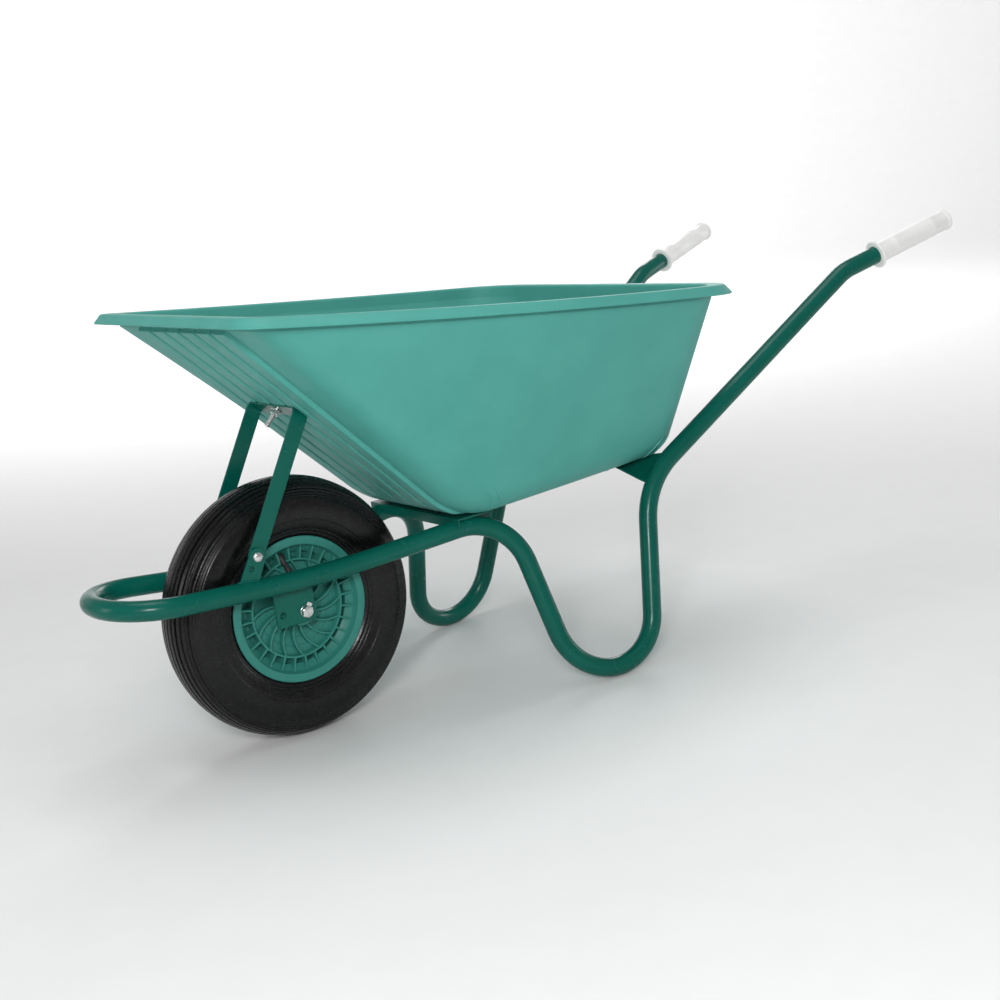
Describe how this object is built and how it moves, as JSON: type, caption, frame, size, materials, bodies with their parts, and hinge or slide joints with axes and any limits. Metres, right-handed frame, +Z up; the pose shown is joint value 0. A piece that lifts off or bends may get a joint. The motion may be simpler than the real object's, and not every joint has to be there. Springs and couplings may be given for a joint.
{
  "type": "wheelbarrow",
  "caption": "Builder's wheelbarrow: moulded tray on a bent tubular frame with looped legs, capped grips and a front pneumatic wheel that spins on a fixed axle.",
  "frame": {"origin": "on the ground at the centre of the whole wheelbarrow's box, seen from above", "axes": "+X forward to the wheel, +Y to the user's left, +Z up"},
  "size_m": [1.5396, 0.6962, 0.6636],
  "materials": {
    "tray_green": "moulded, satin",
    "frame_green": "gloss powder coat",
    "rim_green": "moulded, satin",
    "tyre": "rubber with a soft sheen",
    "tube_rubber": "matte",
    "valve_rubber": "matte",
    "cap_plastic": "matte",
    "bush_nylon": "smooth",
    "grip_white": "satin",
    "zinc": "bright zinc plate"
  },
  "bodies": {
    "frame": {"tray": "tray_green", "front_loop_tube": "frame_green", "left_leg_tube": "frame_green", "right_leg_tube": "frame_green", "left_handle_tube": "frame_green", "right_handle_tube": "frame_green", "left_grip": "grip_white", "right_grip": "grip_white", "left_axle_plate": "frame_green", "right_axle_plate": "frame_green", "left_stay_tab": "frame_green", "right_stay_tab": "frame_green", "front_stay": "frame_green", "front_crossmember": "frame_green", "rear_crossmember": "frame_green", "axle_shaft": "zinc", "axle_spacers": "zinc", "axle_lock_washers": "zinc", "axle_bolts": "zinc", "tray_bolts": "zinc", "tray_washers": "zinc", "tray_nuts": "zinc", "nose_bolt": "zinc", "nose_washer": "zinc", "nose_nut": "zinc", "stay_bolts": "zinc", "stay_nuts": "zinc"},
    "wheel": {"wheel_rim": "rim_green", "tyre": "tyre", "inner_tube": "tube_rubber", "valve_stem": "valve_rubber", "valve_cap": "cap_plastic", "hub_bushes": "bush_nylon"}
  },
  "joints": [
    {"name": "wheel_spin", "type": "hinge", "parent": "frame", "child": "wheel", "pos_m": [0.4598, 0, 0.2], "axis": [0, 1, 0], "continuous": true}
  ]
}
